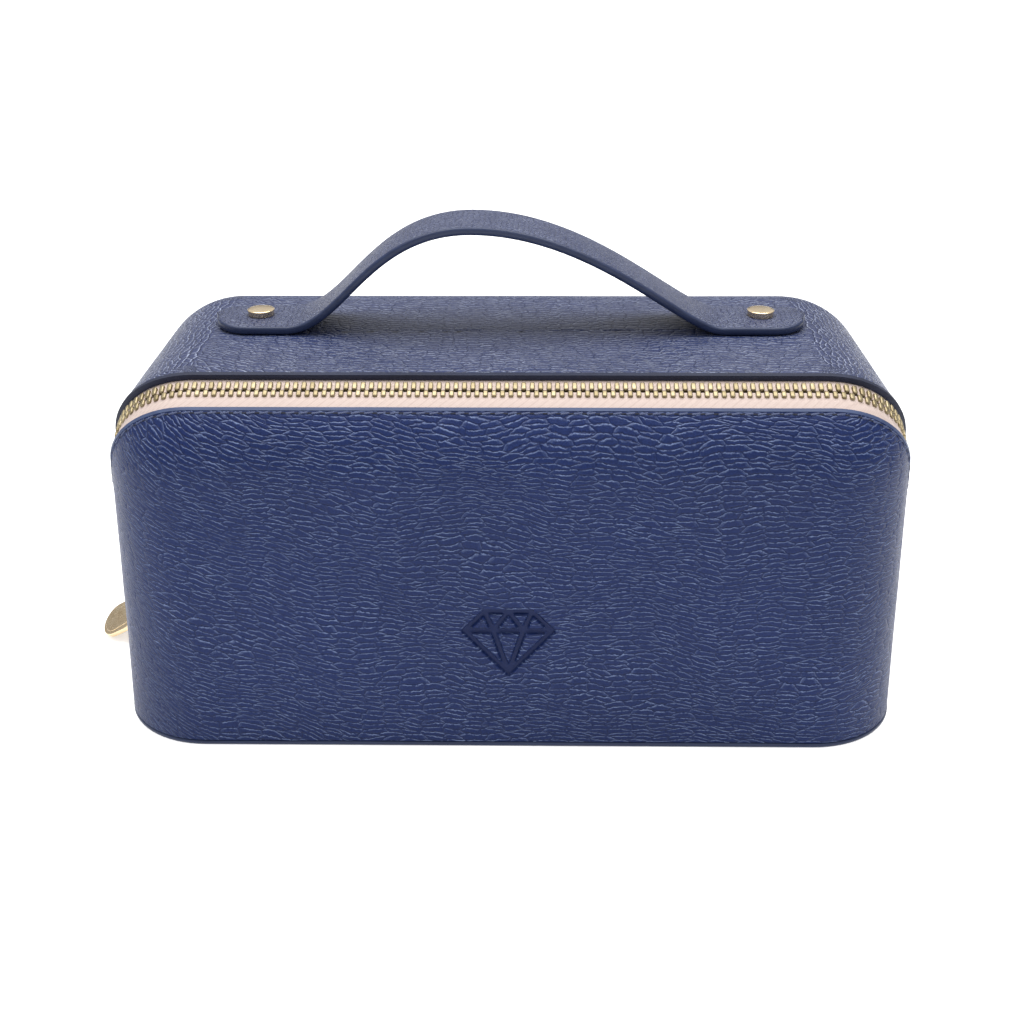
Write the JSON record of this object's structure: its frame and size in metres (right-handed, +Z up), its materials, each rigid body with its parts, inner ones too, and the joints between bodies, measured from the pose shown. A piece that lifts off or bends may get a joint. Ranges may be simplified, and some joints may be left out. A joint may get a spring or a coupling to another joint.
{
  "type": "jewellery case",
  "caption": "Boxy zip-round leather jewellery case with a riveted strap handle, a swing-back lid, a back pocket and a lift-out tray with ring rolls.",
  "frame": {"origin": "on the resting face, under the middle of the case", "axes": "+X to the right along the case, -Y to the front panel, +Z up"},
  "size_m": [0.2667, 0.12, 0.148],
  "materials": {
    "leather": "navy pebbled leather, semi-matt",
    "leather_edge": "dark navy painted edge",
    "zip_tape": "woven blush tape",
    "gold_metal": "polished pale gold plating",
    "lining": "blush suede-like lining",
    "ring_roll": "soft padded velvet",
    "board": "grey bookbinder's board"
  },
  "bodies": {
    "base": {"front_leather": "leather", "front_board": "board", "left_front_board": "board", "right_front_board": "board", "front_lining": "lining", "base_leather": "leather", "base_board": "board", "floor_lining": "lining", "zip_tape_front": "zip_tape", "zip_teeth_front": "gold_metal", "zip_stop_front_left": "gold_metal", "zip_stop_front_right": "gold_metal", "hinge_strip": "lining"},
    "lid": {"lid_leather": "leather", "lid_rim_binding": "leather_edge", "top_board": "board", "back_board": "board", "left_rear_board": "board", "right_rear_board": "board", "lid_lining": "lining", "zip_tape_lid": "zip_tape", "zip_teeth_lid": "gold_metal", "zip_stop_lid_left": "gold_metal", "zip_stop_lid_right": "gold_metal", "handle_end_left": "leather", "handle_end_right": "leather", "handle_flex_left": "leather", "handle_flex_right": "leather", "rivet_left": "gold_metal", "rivet_right": "gold_metal", "rivet_washer_left": "gold_metal", "rivet_washer_right": "gold_metal", "lid_pocket": "lining"},
    "handle": {"handle_bow": "leather"},
    "slider": {"zip_slider": "gold_metal"},
    "puller": {"zip_puller": "gold_metal"},
    "tray": {"tray": "lining", "tray_divider_long": "lining", "tray_divider_rolls": "lining", "tray_divider_back": "lining", "tray_divider_front": "lining", "ring_roll_1": "ring_roll", "ring_roll_2": "ring_roll", "ring_roll_3": "ring_roll", "ring_roll_4": "ring_roll", "ring_roll_5": "ring_roll", "ring_roll_6": "ring_roll", "tray_tab_left": "zip_tape", "tray_tab_right": "zip_tape"}
  },
  "joints": [
    {"name": "lid_hinge", "type": "hinge", "parent": "base", "child": "lid", "pos_m": [0, 0.06, 0.0003], "axis": [-1, 0, 0], "range_deg": [0, 90], "deforming": ["hinge_strip"]},
    {"name": "handle_tilt", "type": "hinge", "parent": "lid", "child": "handle", "pos_m": [0, 0.007, 0.115], "axis": [1, 0, 0], "range_deg": [-15, 15], "stiffness_Nm_per_rad": 0.05, "deforming": ["handle_flex_left", "handle_flex_right"]},
    {"name": "slider_travel", "type": "slide", "parent": "base", "child": "slider", "axis": [0.0317, -0.4252, 0.9045], "range_m": [0, 0.07]},
    {"name": "puller_swing", "type": "hinge", "parent": "slider", "child": "puller", "pos_m": [-0.12461, 0.002, 0.01411], "axis": [0.0149, 0.9051, 0.4249], "range_deg": [0, 110]},
    {"name": "tray_lift", "type": "slide", "parent": "base", "child": "tray", "axis": [0, 0, 1], "range_m": [0, 0.055]}
  ]
}
